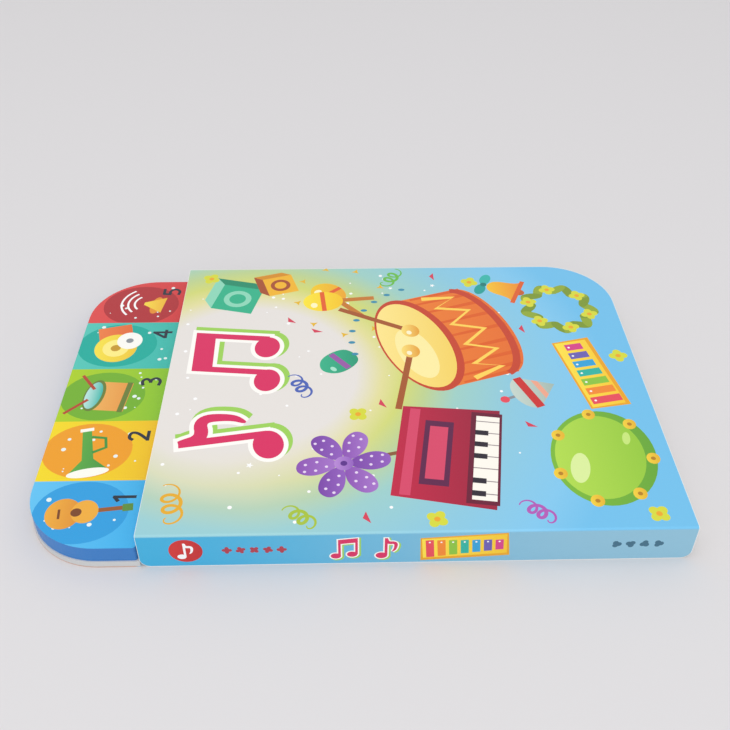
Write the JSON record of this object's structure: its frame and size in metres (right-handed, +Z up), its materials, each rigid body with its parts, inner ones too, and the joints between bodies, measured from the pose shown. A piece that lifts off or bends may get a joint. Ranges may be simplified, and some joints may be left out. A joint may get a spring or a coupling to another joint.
{
  "type": "children's sound book",
  "caption": "Board sound book lying closed: short front cover, spine and pages beside a raised sound panel with press buttons, speaker, cells and switch on a longer back cover.",
  "frame": {"origin": "Middle of the book's underside, on the surface that it lies on.", "axes": "+X from the sound panel's end to the other end, +Y from the spine to the fore edge, +Z up through the front cover."},
  "size_m": [0.25, 0.17, 0.017],
  "materials": {
    "printed_board": "laminated gloss print on board",
    "greyboard": "pale board with a cut edge",
    "pages": "coated board leaves with cut edges",
    "blue_plastic": "moulded satin plastic",
    "white_plastic": "moulded satin plastic",
    "printed_film": "printed laminated card in five colour fields",
    "soft_rubber": "silicone rubber",
    "circuit_board": "solder-masked glass-fibre board",
    "steel": "bright steel",
    "black_plastic": "moulded black plastic",
    "clear_plastic": "tinted clear plastic",
    "cone_film": "thin formed film",
    "magnet": "dark ferrite",
    "red_wire": "soft wire insulation",
    "cell_can": "bright nickel-plated can",
    "contact_brass": "bright sprung brass sheet"
  },
  "bodies": {
    "book": {"spine": "printed_board", "back_cover": "greyboard", "page_block": "pages", "panel_housing": "blue_plastic", "panel_base": "white_plastic", "panel_print": "printed_film", "circuit_board": "circuit_board", "board_screw_1": "steel", "board_screw_2": "steel", "board_screw_3": "steel", "board_screw_4": "steel", "case_screw_1": "steel", "case_screw_2": "steel", "case_screw_3": "steel", "case_screw_4": "steel", "sound_chip": "black_plastic", "panel_light": "clear_plastic", "microphone": "steel", "speaker_frame": "steel", "speaker_cone": "cone_film", "speaker_magnet": "magnet", "speaker_wire_1": "red_wire", "speaker_wire_2": "black_plastic", "button_cell_1": "cell_can", "button_cell_2": "cell_can", "button_cell_3": "cell_can", "negative_contact": "contact_brass", "lower_link": "contact_brass", "upper_link": "contact_brass", "positive_contact": "contact_brass", "battery_door": "white_plastic", "battery_door_screw": "steel", "switch_case": "steel"},
    "cover": {"front_cover": "printed_board"},
    "button_1": {"button_cap_1": "soft_rubber"},
    "button_2": {"button_cap_2": "soft_rubber"},
    "button_3": {"button_cap_3": "soft_rubber"},
    "button_4": {"button_cap_4": "soft_rubber"},
    "button_5": {"button_cap_5": "soft_rubber"},
    "switch": {"switch_knob": "black_plastic"}
  },
  "joints": [
    {"name": "cover_fold", "type": "hinge", "parent": "book", "child": "cover", "pos_m": [0.02275, -0.085, 0.017], "axis": [1, 0, 0], "range_deg": [0, 180]},
    {"name": "button_1_press", "type": "slide", "parent": "book", "child": "button_1", "axis": [0, 0, -1], "range_m": [0, 0.0005], "stiffness_N_per_m": 800},
    {"name": "button_2_press", "type": "slide", "parent": "book", "child": "button_2", "axis": [0, 0, -1], "range_m": [0, 0.0005], "stiffness_N_per_m": 800},
    {"name": "button_3_press", "type": "slide", "parent": "book", "child": "button_3", "axis": [0, 0, -1], "range_m": [0, 0.0005], "stiffness_N_per_m": 800},
    {"name": "button_4_press", "type": "slide", "parent": "book", "child": "button_4", "axis": [0, 0, -1], "range_m": [0, 0.0005], "stiffness_N_per_m": 800},
    {"name": "button_5_press", "type": "slide", "parent": "book", "child": "button_5", "axis": [0, 0, -1], "range_m": [0, 0.0005], "stiffness_N_per_m": 800},
    {"name": "switch_slide", "type": "slide", "parent": "book", "child": "switch", "axis": [0, 1, 0], "range_m": [0, 0.003]}
  ]
}
